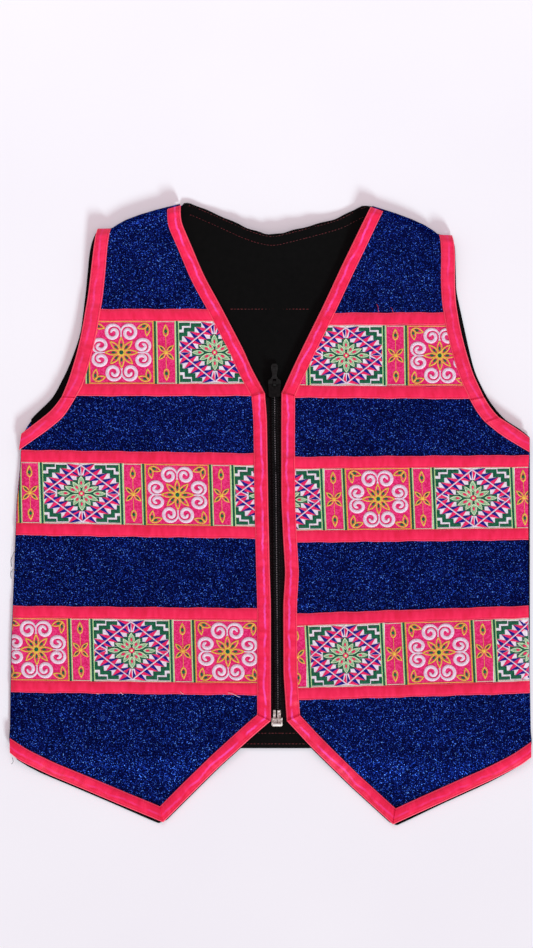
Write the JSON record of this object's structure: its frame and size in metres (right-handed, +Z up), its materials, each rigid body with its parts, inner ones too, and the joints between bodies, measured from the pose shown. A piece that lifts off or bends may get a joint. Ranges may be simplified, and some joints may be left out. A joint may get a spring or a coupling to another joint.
{
  "type": "embroidered vest",
  "caption": "Child's sleeveless zip-front vest in dark blue glitter cloth with embroidered ribbon bands, pink satin ribbon edges and a pointed hem, lying flat.",
  "frame": {"origin": "middle of the outline, on the surface that the vest lies on", "axes": "+X to the wearer's left, +Y from hem to neck, +Z up out of the front of the vest"},
  "size_m": [0.3925, 0.4685, 0.0109],
  "materials": {
    "glitter_cloth": "dark blue knit covered with fine blue glitter",
    "black_lining": "plain black woven lining",
    "pink_satin": "hot pink ribbed satin ribbon",
    "embroidered_ribbon": "machine-embroidered ribbon in pink, white, yellow, green and indigo thread",
    "zip_tape": "black twill tape",
    "zip_coil": "black nylon coil",
    "black_metal": "black enamelled zip metal",
    "silver_metal": "bright plated zip metal, lightly worn"
  },
  "bodies": {
    "garment": {"back_shell": "glitter_cloth", "back_lining": "black_lining", "right_front_shell": "glitter_cloth", "right_front_lining": "black_lining", "right_edge_ribbon": "pink_satin", "right_armhole_ribbon": "pink_satin", "right_top_lower_strip": "pink_satin", "right_top_embroidery": "embroidered_ribbon", "right_top_upper_strip": "pink_satin", "right_middle_lower_strip": "pink_satin", "right_middle_embroidery": "embroidered_ribbon", "right_middle_upper_strip": "pink_satin", "right_bottom_lower_strip": "pink_satin", "right_bottom_embroidery": "embroidered_ribbon", "right_bottom_upper_strip": "pink_satin", "right_zip_tape": "zip_tape", "right_zip_coil": "zip_coil", "left_front_shell": "glitter_cloth", "left_front_lining": "black_lining", "left_edge_ribbon": "pink_satin", "left_armhole_ribbon": "pink_satin", "left_top_lower_strip": "pink_satin", "left_top_embroidery": "embroidered_ribbon", "left_top_upper_strip": "pink_satin", "left_middle_lower_strip": "pink_satin", "left_middle_embroidery": "embroidered_ribbon", "left_middle_upper_strip": "pink_satin", "left_bottom_lower_strip": "pink_satin", "left_bottom_embroidery": "embroidered_ribbon", "left_bottom_upper_strip": "pink_satin", "left_zip_tape": "zip_tape", "left_zip_coil": "zip_coil", "zip_slider": "black_metal", "zip_box": "silver_metal", "zip_insert_pin": "silver_metal", "zip_box_pin": "silver_metal"},
    "pull_tab": {"zip_pull_tab": "black_metal"}
  },
  "joints": [
    {"name": "zip_pull_swing", "type": "hinge", "parent": "garment", "child": "pull_tab", "pos_m": [0.003, 0.0975, 0.0086], "axis": [1, 0, 0], "range_deg": [0, 198]}
  ]
}
